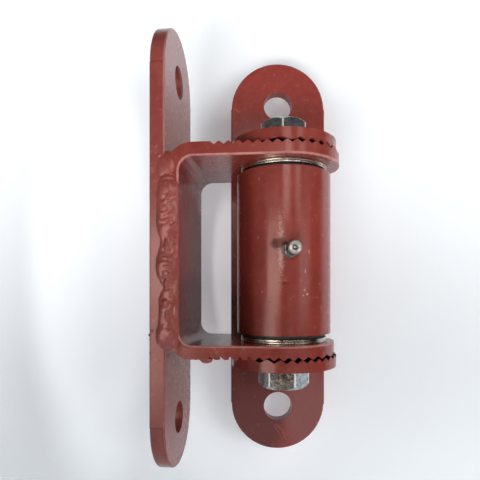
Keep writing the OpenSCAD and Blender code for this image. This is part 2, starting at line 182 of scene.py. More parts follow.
# %% Primer material
def primer(name, fresh="#88382F", browned="#7C322B", peel=0.5, satin=0.22, marks=(), gritty=None,
           grooves=False, matt=None):
    material, tree, surface, place = blank(name)
    clouds = add(tree, "ShaderNodeTexNoise",
                 {"Vector": place, "Scale": 1 / (28 * MM), "Detail": 3.0, "Roughness": 0.55})
    mottle = add(tree, "ShaderNodeTexNoise",
                 {"Vector": place, "Scale": 1 / (3.5 * MM), "Detail": 4.0, "Roughness": 0.65})
    spread = add(tree, "ShaderNodeMath", {0: clouds.outputs["Fac"], 1: mottle.outputs["Fac"]},
                 operation="ADD")
    share = add(tree, "ShaderNodeMapRange", {"Value": spread.outputs[0], "From Min": 0.78, "From Max": 1.22})
    paint = add(tree, "ShaderNodeMix", {"Factor": share.outputs[0], 6: linear(browned), 7: linear(fresh)},
                data_type="RGBA")
    grit = add(tree, "ShaderNodeTexVoronoi", {"Vector": place, "Scale": 1 / (4.5 * MM), "Randomness": 1.0})
    dots = add(tree, "ShaderNodeMapRange",
               {"Value": grit.outputs["Distance"], "From Min": 0.05, "From Max": 0.09, "To Min": 1.0,
                "To Max": 0.0})
    rare = add(tree, "ShaderNodeSeparateColor", {"Color": grit.outputs["Color"]})
    chosen = add(tree, "ShaderNodeMath", {0: rare.outputs[0], 1: 0.955}, operation="GREATER_THAN")
    specks = add(tree, "ShaderNodeMath", {0: dots.outputs[0], 1: chosen.outputs[0]}, operation="MULTIPLY")
    colour = add(tree, "ShaderNodeMix",
                 {"Factor": specks.outputs[0], 6: paint.outputs[2], 7: linear("#A0604F")},
                 data_type="RGBA").outputs[2]
    for details in marks:
        colour, _ = mark(tree, place, colour, *details)
    # the grooves get a near-black painted shade in their V-shaped gaps
    if grooves:
        colour = paint_groove_shade(tree, place, colour)
    dry = add(tree, "ShaderNodeMapRange",
              {"Value": mottle.outputs["Fac"], "From Min": 0.3, "From Max": 0.7, "To Min": satin - 0.05,
               "To Max": satin + 0.07})
    peel_grain = add(tree, "ShaderNodeTexNoise",
                     {"Vector": place, "Scale": 1 / (1.3 * MM), "Detail": 2.0, "Roughness": 0.5})
    sags = add(tree, "ShaderNodeTexNoise", {"Vector": place, "Scale": 1 / (14 * MM), "Detail": 1.0})
    thick = add(tree, "ShaderNodeBump",
                {"Height": sags.outputs["Fac"], "Strength": 0.3, "Distance": 0.25 * MM})
    orange = add(tree, "ShaderNodeBump",
                 {"Height": peel_grain.outputs["Fac"], "Strength": peel, "Distance": 0.035 * MM,
                  "Normal": thick.outputs[0]})
    raised = add(tree, "ShaderNodeBump",
                 {"Height": specks.outputs[0], "Strength": 0.6, "Distance": 0.08 * MM,
                  "Normal": orange.outputs[0]})
    if gritty:
        _, patch = mark(tree, place, colour, *gritty)
        sand = add(tree, "ShaderNodeTexNoise", {"Vector": place, "Scale": 1 / (0.9 * MM), "Detail": 2.0})
        sanded = add(tree, "ShaderNodeMath", {0: sand.outputs["Fac"], 1: patch}, operation="MULTIPLY")
        raised = add(tree, "ShaderNodeBump",
                     {"Height": sanded.outputs[0], "Strength": 1.0, "Distance": 0.1 * MM,
                      "Normal": raised.outputs[0]})
    connect(tree, surface,
            {"Base Color": colour, "Roughness": dry.outputs[0], "Normal": raised.outputs[0], "IOR": 1.5})
    if matt:
        _, flat = mark(tree, place, colour, *matt)
        mirrored = add(tree, "ShaderNodeMapRange", {"Value": flat, "To Min": 0.5, "To Max": 0.0})
        connect(tree, surface, {"Specular IOR Level": mirrored.outputs[0]})
    return material

# %% [markdown]
# ## Dark grooves
# The saw teeth grip each other only at their tips, and the V-shaped gaps between them lie in deep shade,
# painted near-black.
# The flanks of a groove lean 38 degrees, so the upright part of their normal is about 0.8.
# Paint gets this painted shade where that is so, under the washers and close to the height of the teeth.

# %% Painted groove shade
mating = (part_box("top_clamp_washer")[0].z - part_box("bottom_clamp_washer")[1].z) / 2
washer_radius = (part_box("top_clamp_washer")[1].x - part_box("top_clamp_washer")[0].x) / 2


def paint_groove_shade(tree, place, under):
    from_pivot = add(tree, "ShaderNodeVectorMath", {0: place, 1: pivot}, operation="SUBTRACT")
    across = add(tree, "ShaderNodeSeparateXYZ", {"Vector": from_pivot.outputs[0]})
    flat = add(tree, "ShaderNodeCombineXYZ", {"X": across.outputs["X"], "Y": across.outputs["Y"]})
    reach = add(tree, "ShaderNodeVectorMath", {0: flat.outputs[0]}, operation="LENGTH")
    height = add(tree, "ShaderNodeMath", {0: across.outputs["Z"]}, operation="ABSOLUTE")
    under_washer = add(tree, "ShaderNodeMapRange",
                       {"Value": reach.outputs["Value"], "From Min": washer_radius - 1.2 * MM,
                        "From Max": washer_radius + 0.2 * MM, "To Min": 1.0, "To Max": 0.0})
    level = add(tree, "ShaderNodeMath", {0: height.outputs[0], 1: mating, 2: 1.75 * MM}, operation="COMPARE")
    leaning = add(tree, "ShaderNodeSeparateXYZ",
                  {"Vector": add(tree, "ShaderNodeTexCoord").outputs["Normal"]})
    upright = add(tree, "ShaderNodeMath", {0: leaning.outputs["Z"]}, operation="ABSOLUTE")
    flank = add(tree, "ShaderNodeMath", {0: upright.outputs[0], 1: 0.66, 2: 0.28}, operation="COMPARE")
    both = add(tree, "ShaderNodeMath", {0: level.outputs[0], 1: flank.outputs[0]}, operation="MULTIPLY")
    in_groove_shade = add(tree, "ShaderNodeMath", {0: both.outputs[0], 1: under_washer.outputs[0]},
                operation="MULTIPLY")
    # the near-black is painted shade in the grooves
    return add(tree, "ShaderNodeMix", {"Factor": in_groove_shade.outputs[0], 6: under, 7: linear("#1B0C0A")},
               data_type="RGBA").outputs[2]


print("the teeth meet", round(mating / MM, 1), "mm from the pivot's middle")

# %% [markdown]
# ## One primer for each bar
# The same paint went on every bar, but each has marks of its own.
# The yoke is darker inside, a painted shade, and duller; the post plate's inner face is paler above, a
# painted reflection, and duller below.
# The plates have a faint crease where the punched round end meets the rolled edge, and on the post plate the
# shade in it is painted as a dark line.
# The tube has a scuff, a few chips, a painted shadow of the nipple beside it, painted shade down its left
# side and a gritty streak of spray dust with painted glints in it.

# %% Primers
end_radius = 28.85
end_crease = cad_high.z / MM - end_radius
primer_on_bar = primer("red_oxide_primer_on_bar", grooves=True, marks=[
    # painted shade on the lower web and on the lower arm's inside face, within the yoke's opening
    ((15, 0, -34), (3.0, 60, 26), "#54221E", 0.65, 0.2, 9.0),
    ((20, 0, -49.5), (20, 60, 2.5), "#4A1F1B", 0.7, 0.2, 6.0)],
    matt=((15, 0, -12), (4.0, 60, 70), "#000000", 0.95, 0.1, 9.0))
primer_on_post_plate = primer("red_oxide_primer_on_post_plate", "#8C453E", "#803B34", peel=0.12, marks=[
    # painted shade along the two end creases of the post plate's front face
    ((4, -29.3, end_crease), (5.0, 1.4, 0.35), "#5C2925", 0.8, 0.2),
    ((4, -29.3, -end_crease), (5.0, 1.4, 0.4), "#451B18", 0.9, 0.2),
    # a pale painted reflection on the upper part of the post plate's inner face
    ((7.94, 0, 78), (1.6, 60, 76), "#9C7674", 0.55, 0.1, 9.0)],
    matt=((7.94, 0, -112), (1.6, 60, 52), "#000000", 0.5, 0.1, 9.0))
primer_on_gate_plate = primer("red_oxide_primer_on_gate_plate", "#97413A", "#8A3832", marks=[
    # painted shadow of the lower arm and clamp washer on the gate plate's lower end
    ((46, 32, -100), (27, 20, 44), "#5E2722", 0.85, 0.12, 9.0),
    # a greyish painted sheen on the lower right of the gate plate
    ((82, 31, -96), (20, 20, 36), "#8C5A56", 0.6, 0.12, 9.0)])
primer_on_weld = primer("red_oxide_primer_over_weld", "#8E4740", "#803B34", peel=1.0, satin=0.23)
# a paler primer that paints a highlight on rounded edges
primer_with_painted_edge_highlight = primer("red_oxide_primer_with_painted_edge_highlight", "#B27A72", "#9C5E56", peel=0.4, satin=0.20)
primer_on_barrel = primer("red_oxide_primer_on_tube", marks=[
    # painted shade down the tube's left side, deepest low down
    ((43, -6, -3), (13, 30, 90), "#6B2922", 0.9, 0.1, 9.0),
    ((45, -8, -38), (11, 30, 30), "#581F1A", 0.7, 0.1, 9.0),
    ((67.0, -25.4, -19.2), (3.0, 2.5, 0.75), "#5A2018", 0.8, 0.9, 0.7),
    # pale painted glints scattered along the gritty streak
    ((65.6, -25.2, -2.0), (1.6, 3.0, 15.0), "#C9A096", 0.6, 1.9, 0.45),
    ((67.4, -25.4, -17.6), (2.2, 2.5, 0.4), "#A8604F", 0.6, 0.6, 0.7),
    ((77.2, -23.2, -22.6), (0.6, 1.4, 0.5), "#CFA396", 0.8, 0.3),
    ((78.6, -22.6, -24.6), (0.7, 1.4, 0.6), "#CFA396", 0.8, 0.3),
    ((76.6, -23.4, -25.2), (0.45, 1.2, 0.4), "#CFA396", 0.8, 0.3),
    ((60.1, -24.8, -28.4), (0.8, 1.5, 0.6), "#3E1511", 0.9, 0.3, 0.8),
    # painted shadow of the nipple on the tube round its foot, darkest on its left
    ((64.0, -25.2, 0.6), (5.0, 3.0, 3.4), "#3C1B17", 0.6, 0.3, 1.6),
    ((66.0, -25.2, 2.0), (3.2, 3.0, 3.0), "#5E241D", 0.5, 0.4, 1.6),
    ((69.8, -25.4, -2.6), (4.6, 2.2, 4.6), "#4B1A15", 0.55, 0.3, 1.5),
    ((79.5, -21.8, -3.4), (0.35, 1.2, 1.2), "#C29186", 0.8, 0.3),
    ((77.6, -22.9, -13.2), (0.35, 1.2, 1.3), "#C29186", 0.8, 0.3),
    ((54.5, -22.4, 33.5), (0.5, 1.0, 1.0), "#A4665A", 0.9, 0.3),
    ((54.0, -22.2, 4.0), (0.6, 1.0, 0.6), "#A4665A", 0.9, 0.3),
    ((56.2, -23.2, -23.4), (0.6, 1.0, 0.6), "#A4665A", 0.9, 0.3)],
    matt=((64.6, -25.2, 0.6), (4.6, 3.0, 3.2), "#000000", 0.75, 0.3, 1.6),
    gritty=((65.3, -25.2, 2.0), (4.2, 5.0, 24.0), "#000000", 1.0, 0.4, 5.0))
print("primers:", primer_on_bar.name, primer_on_post_plate.name, primer_on_gate_plate.name)
print("and:", primer_on_weld.name, primer_with_painted_edge_highlight.name, primer_on_barrel.name)

# %% [markdown]
# ## Zinc plating
# Bolt, nut, nipple and thin washers are steel with bright zinc electroplated on.
# The passivated zinc is a mirror broken into pale and dark flakes about 1 mm wide, slightly blue.
# A metal takes its look from its base colour and roughness, so the flakes vary both.
# The hexagons' outer corners get a plainer, paler zinc, a painted highlight line.
# They are the metal furthest from the pivot, so the distance from it finds them.

# %% Zinc material
def zinc(name, bright="#D9DEDC", dull="#7C8487", flake=2.2, rough=0.24, relief_height=0.03, metal=1.0,
         corners=None, marks=()):
    material, tree, surface, place = blank(name)
    warp = add(tree, "ShaderNodeTexNoise", {"Vector": place, "Scale": 1 / (2.5 * MM), "Detail": 3.0})
    bent = add(tree, "ShaderNodeMix", {"Factor": 0.004, 4: place, 5: warp.outputs["Color"]},
               data_type="VECTOR")
    flakes = add(tree, "ShaderNodeTexVoronoi", {"Vector": bent.outputs[1], "Scale": 1 / (flake * MM)})
    tone = add(tree, "ShaderNodeSeparateColor", {"Color": flakes.outputs["Color"]})
    haze = add(tree, "ShaderNodeTexNoise",
               {"Vector": place, "Scale": 1 / (0.7 * MM), "Detail": 4.0, "Roughness": 0.7})
    both = add(tree, "ShaderNodeMath", {0: tone.outputs[0], 1: haze.outputs["Fac"]}, operation="MULTIPLY")
    share = add(tree, "ShaderNodeMapRange", {"Value": both.outputs[0], "From Min": 0.05, "From Max": 0.5})
    colour = add(tree, "ShaderNodeMix", {"Factor": share.outputs[0], 6: linear(dull), 7: linear(bright)},
                 data_type="RGBA")
    gloss = add(tree, "ShaderNodeMapRange",
                {"Value": tone.outputs[1], "To Min": rough - 0.06, "To Max": rough + 0.1})
    relief = add(tree, "ShaderNodeBump",
                 {"Height": both.outputs[0], "Strength": 0.5, "Distance": relief_height * MM})
    plate, sheen, solid = colour.outputs[2], gloss.outputs[0], metal
    # corners gives a paler, plainer zinc on the hexagons' outer corners, a painted highlight line
    if corners:
        from_pivot = add(tree, "ShaderNodeVectorMath", {0: place, 1: pivot}, operation="SUBTRACT")
        around = add(tree, "ShaderNodeVectorMath", {0: from_pivot.outputs[0], 1: (1, 1, 0)},
                     operation="MULTIPLY")
        reach = add(tree, "ShaderNodeVectorMath", {0: around.outputs[0]}, operation="LENGTH")
        corner_highlight_share = add(tree, "ShaderNodeMapRange",
                   {"Value": reach.outputs["Value"], "From Min": corners - 0.36 * MM,
                    "From Max": corners - 0.2 * MM})
        plate = add(tree, "ShaderNodeMix", {"Factor": corner_highlight_share.outputs[0], 6: plate, 7: linear("#F4F6F4")},
                    data_type="RGBA").outputs[2]
        sheen = add(tree, "ShaderNodeMix", {"Factor": corner_highlight_share.outputs[0], 2: sheen, 3: 0.45},
                    data_type="FLOAT").outputs[0]
        solid = add(tree, "ShaderNodeMapRange",
                    {"Value": corner_highlight_share.outputs[0], "To Min": metal, "To Max": 0.25}).outputs[0]
    for details in marks:
        plate, _ = mark(tree, place, plate, *details)
    connect(tree, surface,
            {"Base Color": plate, "Roughness": sheen, "Normal": relief.outputs[0], "Metallic": solid})
    return material


nut_points = [v.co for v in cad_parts["hex_nut"].data.vertices]
hexagon_reach = max((Vector((point.x, point.y, pivot.z)) - pivot).length for point in nut_points)
zinc_on_fasteners = zinc("bright_zinc_plated_steel", "#C2C8C7", "#878E91", flake=1.1, rough=0.2,
                         corners=hexagon_reach, marks=[
    # painted reflections: a dark left face and a warm middle face on the nut, and a bluish right side on the
    # bolt head
    ((54.4, -4.5, -69), (3.6, 9, 9), "#4F3F38", 0.9, 0.1),
    ((66.5, -12, -69), (7, 3, 8), "#A8917D", 0.6, 0.2),
    ((73, -10.5, 63), (7, 5, 8), "#8C9DB6", 0.7, 0.1)])
# a paler zinc for the bevelled corners of bolt and nut, a painted highlight line
zinc_painted_corner_highlight = zinc("zinc_with_painted_corner_highlight", "#F2F4F2", "#D5D9D7", flake=3, rough=0.4, relief_height=0.0,
                      metal=0.4)
zinc_on_washers = zinc("thin_zinc_washer_rims", "#E9E7DF", "#BDB9AE", flake=5, rough=0.26, relief_height=0.01)
zinc_on_nipple = zinc("dull_zinc_on_nipple", "#E4E5DF", "#B4B7B2", flake=1.6, rough=0.36, relief_height=0.01,
                      metal=0.8, marks=[
    ((72.5, -33.7, -2.2), (1.9, 1.9, 1.9), "#38312B", 0.85, 0.1),
    # painted shadow at the nipple's waist and the top of its hexagon
    ((70.8, -27.6, -2.8), (4.6, 3.6, 4.6), "#2E2420", 0.85, 0.1)])
print("plating:", [m.name for m in (zinc_on_fasteners, zinc_painted_corner_highlight, zinc_on_washers, zinc_on_nipple)])

# %% [markdown]
# ## Bearing steel, brass and rubber
# The bearings hide in the barrel, but they show when the hinge is taken apart or turned.
# Races and balls are ground and polished steel, cages are turned brass, and the lips are nitrile rubber.
# A fine noise stretched round or along the part stands for grinding and turning marks.

# %% Inner materials
def machined(name, pale, deep, rough, metallic, grain):
    material, tree, surface, place = blank(name)
    stretch = add(tree, "ShaderNodeMapping", {"Vector": place, "Scale": (1.0, 1.0, 12.0)})
    lines = add(tree, "ShaderNodeTexNoise",
                {"Vector": stretch.outputs[0], "Scale": 1 / (grain * MM), "Detail": 3.0})
    colour = add(tree, "ShaderNodeMix", {"Factor": lines.outputs["Fac"], 6: linear(deep), 7: linear(pale)},
                 data_type="RGBA")
    gloss = add(tree, "ShaderNodeMapRange",
                {"Value": lines.outputs["Fac"], "To Min": rough - 0.06, "To Max": rough + 0.1})
    relief = add(tree, "ShaderNodeBump",
                 {"Height": lines.outputs["Fac"], "Strength": 0.3, "Distance": 0.02 * MM})
    connect(tree, surface,
            {"Base Color": colour.outputs[2], "Roughness": gloss.outputs[0], "Normal": relief.outputs[0],
             "Metallic": metallic})
    return material


ground_steel = machined("ground_bearing_steel", "#D2D3D3", "#A9ABAC", 0.16, 1.0, 1.5)
turned_brass = machined("turned_cage_brass", "#D2B06A", "#A9853F", 0.28, 1.0, 1.2)
nitrile = machined("nitrile_rubber", "#2B2B2C", "#1B1B1C", 0.55, 0.0, 0.8)
print("inner finishes:", ground_steel.name, turned_brass.name, nitrile.name)

# %% [markdown]
# ## Paint for the CAD parts that stay
# Bearings, cages, seals and the sleeve already have their true shape, so they only get a finish.
# Each CAD material carries the name of its finish, so the table below picks the finish by that name.

# %% Finishes on CAD nodes
finishes = {"red_oxide_primer": primer_on_bar, "zinc_plate": zinc_on_fasteners, "bearing_steel": ground_steel,
            "cage_brass": turned_brass, "seal_rubber": nitrile}
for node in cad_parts.values():
    for slot in node.material_slots:
        slot.material = finishes[slot.material.name]
print("painted", len(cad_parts), "CAD nodes")

# %% [markdown]
# ## Bending sharp steel soft
# Sawn bar and sheared plate never have knife edges, and thick paint rounds them further.
# Each large part starts as a merged copy of its CAD node, so its outline and holes stay true.
# Triangles that lie flat are joined into one face, and only the sharp rims are then bevelled.
# Weighted normals keep the flats flat while the narrow bevels catch the light.

# %% Copying and softening
def steel_copy(node):
    bm = bmesh.new()
    bm.from_mesh(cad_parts[node].data)
    bmesh.ops.remove_doubles(bm, verts=bm.verts, dist=0.002 * MM)
    bmesh.ops.dissolve_limit(bm, angle_limit=math.radians(0.4), verts=bm.verts, edges=bm.edges)
    return bm


def soften(bm, width, sharper_than=28, steps=2, only=lambda edge: True, careful=True):
    rims = [e for e in bm.edges
            if len(e.link_faces) == 2 and e.calc_face_angle() > math.radians(sharper_than) and only(e)]
    return bmesh.ops.bevel(bm, geom=rims, offset=width, offset_type="OFFSET", segments=steps, profile=0.5,
                           affect="EDGES", material=-1, clamp_overlap=careful)["faces"]


def keep(bm, name, body, material, stands_for=(), flats=True):
    mesh = bpy.data.meshes.new(name)
    bm.to_mesh(mesh)
    bm.free()
    mesh.materials.append(material)
    mesh.shade_smooth()
    piece = bpy.data.objects.new(name, mesh)
    bpy.context.scene.collection.objects.link(piece)
    if flats:
        piece.modifiers.new("keep_flats", "WEIGHTED_NORMAL").keep_sharp = True
    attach(piece, body)
    if stands_for:
        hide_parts(*stands_for)
    return piece


print("bevels start where faces turn more than 28 degrees")

# %% [markdown]
# ## Plates, yoke and barrel
# These are hot-rolled bars with round ends, a bar bent into a U with a saw-tooth edge, and a short tube.
# They could be modelled again from outlines, but a softened copy is exact and quick.
# The plates get the widest bevel, and the small teeth get a narrow one so that they stay crisp.
# The yoke's inner edges are ground off before painting, so they are bevelled first and three times as wide.
# Ground edges and the post plate's front corner get a paler primer, a painted highlight on their rounded
# edges.
# The bend leaves a small raised crease at the yoke's upper outer corner.

# %% Softened steel
def faces_the_opening(face):
    faces_pivot = abs(face.normal.y) < 0.3 and face.normal.dot(pivot - face.calc_center_median()) > 0
    on_an_arm = abs(face.normal.z) > 0.9
    on_the_web = face.calc_center_median().x < pivot.x - barrel_radius
    return faces_pivot and (on_an_arm or on_the_web)


def round_inside(bm, width):
    def on_the_rim(edge):
        outside_the_slots = all(abs(v.co.y) >= 10 * MM for v in edge.verts)
        return outside_the_slots and len([f for f in edge.link_faces if faces_the_opening(f)]) == 1
    # careful is off, because Blender would narrow this bevel at the bends
    return soften(bm, width, sharper_than=60, steps=3, only=on_the_rim, careful=False)


def raise_crease(bm, x, z, reach, height):
    inward = Vector((1, 0, -1)).normalized()
    moved = [v for v in bm.verts if math.hypot(v.co.x - x, v.co.z - z) < reach]
    for vert in moved:
        vert.co += inward * height
    return len(moved)


# faces given material 1 show the paler primer, a painted highlight on rounded edges
def give_painted_edge_highlight(faces):
    for face in faces:
        face.material_index = 1
    return len(faces)


for node, body, width, paint in (
        ("post_plate", "post_side", 0.55, primer_on_post_plate),
        ("gate_plate", "gate_side", 0.45, primer_on_gate_plate),
        ("yoke", "post_side", 0.35, primer_on_bar),
        ("barrel", "gate_side", 0.5, primer_on_barrel),
        ("packing_bar", "gate_side", 0.4, primer_on_bar)):
    bm = steel_copy(node)
    # thin counts the faces given the paler primer, a painted highlight on the rounded edges
    thin = give_painted_edge_highlight(round_inside(bm, 0.95 * MM)) if node == "yoke" else 0
    rims = soften(bm, width * MM, sharper_than=32 if node == "yoke" else 28)
    if node == "yoke":
        creased = raise_crease(bm, x=16.99 * MM, z=41.85 * MM, reach=0.3 * MM, height=0.25 * MM)
        print("the yoke's crease has", creased, "points")
    if node == "post_plate":
        # the post plate's front corner also gets the painted edge highlight
        thin = give_painted_edge_highlight([f for f in rims if f.normal.x > 0.4 and f.normal.y < -0.4])
    piece = keep(bm, "painted_" + node, body, paint, [node])
    if thin:
        piece.data.materials.append(primer_with_painted_edge_highlight)
    print(node, "has", len(piece.data.polygons), "faces, and got thin paint on", thin)

# %% [markdown]
# ## Clamp washers
# Two thick washers sit on the arms, with grooves that lock into the saw teeth.
# They are punched, so their rims are a little rounded, and paint fills the corners.

# %% Clamp washers
for node in ("top_clamp_washer", "bottom_clamp_washer"):
    bm = steel_copy(node)
    rims = soften(bm, 0.3 * MM)
    keep(bm, "painted_" + node, "pivot_bolt", primer_on_bar, [node])
    print(node, "has", len(rims), "bevel faces")

# %% [markdown]
# ## Thin washers, bolt and nut
# The thin zinc washers have rolled rims that shine as bright lines above and below the barrel.
# Bolt head and nut are forged hexagons whose corners show white lines, a painted highlight.
# The bevel hands back its new faces, so they can get a second, brighter finish.

# %% Plated steel
thin_washers = ("top_thrust_washer", "bottom_thrust_washer", "top_shim_washer", "bottom_shim_washer")
for node in thin_washers + ("hinge_bolt", "hex_nut"):
    thin = node in thin_washers
    bm = steel_copy(node)
    rims = soften(bm, (0.35 if thin else 0.5) * MM, sharper_than=20, steps=3)
    for face in rims:
        face.material_index = 1
    flats, corners = (zinc_on_washers, zinc_on_washers) if thin else (zinc_on_fasteners, zinc_painted_corner_highlight)
    keep(bm, "plated_" + node, "pivot_bolt", flats, [node]).data.materials.append(corners)
    print(node, "has", len(rims), "bevel faces")

# %% [markdown]
# ## Weld beads under the paint
# The yoke is joined to the post plate by a hand-laid bead on each flush seam.
# A bead is a row of half-melted scales, wider where the welder paused, and the paint drowns its detail.
# A flat grid is the easy start: rows run along the seam, and each vertex is lifted into a rounded crown.
# The crown is steep on the plate's side and runs out thin towards the yoke's inner edge.
# Stations say how far along they are, where the bead's left and right edges lie, and how tall it is.
# Between stations the numbers blend softly, so the outline can wander as a real bead's does.

# %% Bead maker
def blend_stations(stations, at):
    for before, after in zip(stations, stations[1:]):
        if at <= after[0]:
            share = (at - before[0]) / (after[0] - before[0])
            soft = share * share * (3 - 2 * share)
            return [a + (b - a) * soft for a, b in zip(before[1:], after[1:])]
    return list(stations[-1][1:])


row_step = 0.4 * MM    # the height of one row of the grid
toe = 0.6 * MM         # thin paint that creeps out past the bead's left edge
plump = 1.15           # how much thick paint adds to the crown
shelf = 0.3            # the crown's share that is left at the right edge
foot = 1.2 * MM        # how deep the bead's underside lies in the steel


def weld_bead(bm, start, along, across, out, stations, ripple, lumps, seed):
    first, last = stations[0][0] * MM, stations[-1][0] * MM
    grid = bmesh.ops.create_grid(bm, x_segments=int((last - first) / row_step), y_segments=34,
                                 size=1)["verts"]
    for vert in grid:
        run, side = first + (vert.co.x + 1) / 2 * (last - first), vert.co.y
        left, right, tall = [v * MM for v in blend_stations(stations, run / MM)]
        left, tall = left - toe, plump * tall
        if side < 0:
            crown = (1 - (-side) ** 3) ** 0.5
        else:
            crown = shelf + (1 - shelf) * (0.5 + 0.5 * math.cos(math.pi * side))
        wobble = noise.noise(Vector((run / (5 * MM), side * 1.3, seed)))
        slow = noise.noise(Vector((run / (11 * MM), side * 0.8, seed + 7)))
        fine = noise.noise(Vector((run / (1.9 * MM), side * 3.2, seed + 13)))
        scale = math.sin(2 * math.pi * (run / (4.4 * MM) + 0.55 * side * side + 0.35 * side + 0.6 * slow))
        lift = tall * crown + crown * (lumps * (wobble + 0.8 * slow + 0.3 * fine) + ripple * scale)
        aside = left + (right - left) * (side + 1) / 2
        vert.co = start + along * run + across * aside + out * max(lift, 0.05 * MM)
    faces = list({f for v in grid for f in v.link_faces})
    sunk = bmesh.ops.extrude_face_region(bm, geom=faces)["geom"]
    for vert in (g for g in sunk if isinstance(g, bmesh.types.BMVert)):
        height = (vert.co - start).dot(out)
        vert.co -= out * (height + foot)


def paint_lobe(bm, centre, radii, turn=0.0):
    shape = Matrix.Translation(centre) @ Matrix.Rotation(turn, 4, "Y") @ Matrix.Diagonal((*radii, 1.0))
    bmesh.ops.create_icosphere(bm, subdivisions=3, radius=1.0, matrix=shape)


def melt(piece, grain, rounds):
    fused = piece.modifiers.new("run_together", "REMESH")
    fused.mode, fused.voxel_size, fused.use_smooth_shade = "VOXEL", grain, True
    calm = piece.modifiers.new("flow_out", "SMOOTH")
    calm.factor, calm.iterations = 0.5, rounds


print("a bead has a row every", round(row_step / MM, 2), "mm")

# %% [markdown]
# ## The front seam
# The visible seam wanders: it is narrow just under its middle, swells into a drop, and ends in a round blob.
# Extra lobes add the drop, slanting ridges, runs of paint and the start of each pass.
# A lobe is written as its place along and up the plate, half width, half height, how proud, and its turn.
# Lobes under 1 mm proud are only a soft swelling, so they are thick balls sunk deep into the bead.
# A voxel remesh melts all of it into one skin, fine enough to keep the ridges.

# %% Front seam weld
front_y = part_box("post_plate")[0].y
yoke_thickness = 7.0    # mm
web_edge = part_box("yoke")[0].x / MM + yoke_thickness
front_stations = [
    (-35.5, 9.0, 11.0, 0.2), (-33.0, 6.2, 13.4, 0.9), (-30.0, 4.9, web_edge, 1.3), (-26, 4.5, web_edge, 1.7),
    (-21, 4.5, web_edge, 1.6), (-15.7, 4.3, web_edge, 1.7), (-10.8, 4.2, web_edge, 1.6),
    (-6.8, 4.9, web_edge, 1.4), (-2.7, 6.3, web_edge, 1.0), (-0.3, 6.1, web_edge, 1.0),
    (3, 5.3, web_edge, 1.3), (7, 4.1, web_edge, 1.7), (11, 3.9, web_edge, 1.9), (15.2, 4.5, web_edge, 1.8),
    (18.4, 6.2, web_edge, 1.3), (21.6, 8.0, web_edge, 1.0), (24.1, 6.3, web_edge, 1.1),
    (27.4, 5.3, web_edge, 1.2), (32.2, 5.5, web_edge, 1.3), (35.5, 5.4, web_edge, 1.3),
    (39.6, 5.0, web_edge, 1.5), (42.8, 4.1, web_edge, 1.7), (46, 4.0, web_edge, 1.7), (48.5, 4.4, 14.0, 1.5),
    (50.5, 5.8, 12.8, 1.1), (52.2, 8.2, 11.2, 0.2)]
seam_lobes = (
    (8.4, 38.8, 5.2, 8.0, 0.7, 0.15), (9.0, 27.0, 4.0, 5.2, 2.3, 0.3), (8.6, 18.0, 3.6, 5.0, 2.3, -0.25),
    (9.2, 9.0, 3.9, 5.4, 2.2, 0.3), (9.9, 23.4, 0.9, 4.6, 2.6, 0.56), (11.4, 8.6, 0.7, 3.9, 2.2, 0.85),
    (12.9, 26.5, 1.3, 3.6, 1.5, 0.3), (13.2, 14.0, 1.2, 4.4, 1.4, -0.15), (13.0, 3.2, 0.8, 0.9, 1.7, 0.5),
    (11.2, 2.4, 0.7, 0.7, 1.9, 0.0), (12.4, -2.6, 1.2, 3.6, 1.4, 0.2), (9.15, -0.8, 0.75, 5.0, 2.4, 0.0),
    (8.8, -9.6, 4.3, 6.4, 2.6, 0.05), (9.2, -14.2, 3.2, 2.8, 2.7, 0.0), (9.2, -6.6, 2.9, 0.5, 2.95, 0.1),
    (9.3, -8.7, 3.0, 0.5, 3.05, 0.05), (9.2, -10.8, 2.8, 0.5, 3.05, 0.0), (10.6, -14.6, 0.8, 1.1, 3.1, 0.4),
    (12.0, -13.4, 0.8, 1.6, 2.1, 0.3), (8.2, -15.2, 0.8, 0.8, 3.0, 0.0), (9.3, -18.6, 1.25, 3.0, 2.8, 0.12),
    (9.6, -25.6, 3.2, 4.6, 1.8, 0.1), (8.7, -29.0, 1.5, 2.5, 2.7, -0.05), (11.6, -27.4, 0.8, 1.2, 1.9, 0.3),
    (9.2, -37.0, 3.9, 7.4, 2.1, 0.0), (9.3, -35.6, 0.8, 4.2, 2.5, 0.0), (8.6, -45.0, 4.4, 5.4, 2.8, 0.0),
    (10.4, -44.4, 2.6, 3.6, 2.9, 0.2), (12.9, -48.4, 2.4, 2.4, 1.7, -0.6), (13.4, -36.5, 1.1, 7.5, 1.3, 0.0),
    (13.6, -22.0, 0.9, 4.6, 1.2, 0.05), (6.9, -47.8, 1.8, 2.0, 2.3, 0.4))
up, right, forward = Vector((0, 0, 1)), Vector((1, 0, 0)), Vector((0, -1, 0))
bm = bmesh.new()
weld_bead(bm, Vector((0, front_y, 0)), -up, right, forward, front_stations, ripple=0.12 * MM, lumps=0.34 * MM,
          seed=3.0)
for x, z, wide, tall, proud, turn in seam_lobes:
    ahead, thick = (0.28, 0.6) if proud > 1 else (-1.5, 2.5)
    centre = Vector((x * MM, front_y - ahead * proud * MM, z * MM))
    paint_lobe(bm, centre, (wide * MM * 1.08, thick * proud * MM, tall * MM * 1.05), turn)
front_seam = keep(bm, "welded_front_seam", "post_side", primer_on_weld,
                  ["front_seam_weld"], flats=False)
melt(front_seam, 0.28 * MM, rounds=8)
print("front seam spans", round(front_stations[-1][0] - front_stations[0][0]), "mm with", len(seam_lobes),
      "lobes")

# %% [markdown]
# ## The rear seam
# The same hand laid the rear seam from the other end, so its stations are the front ones turned upside down.
# Its ripples are clearer, because less paint ran over them.

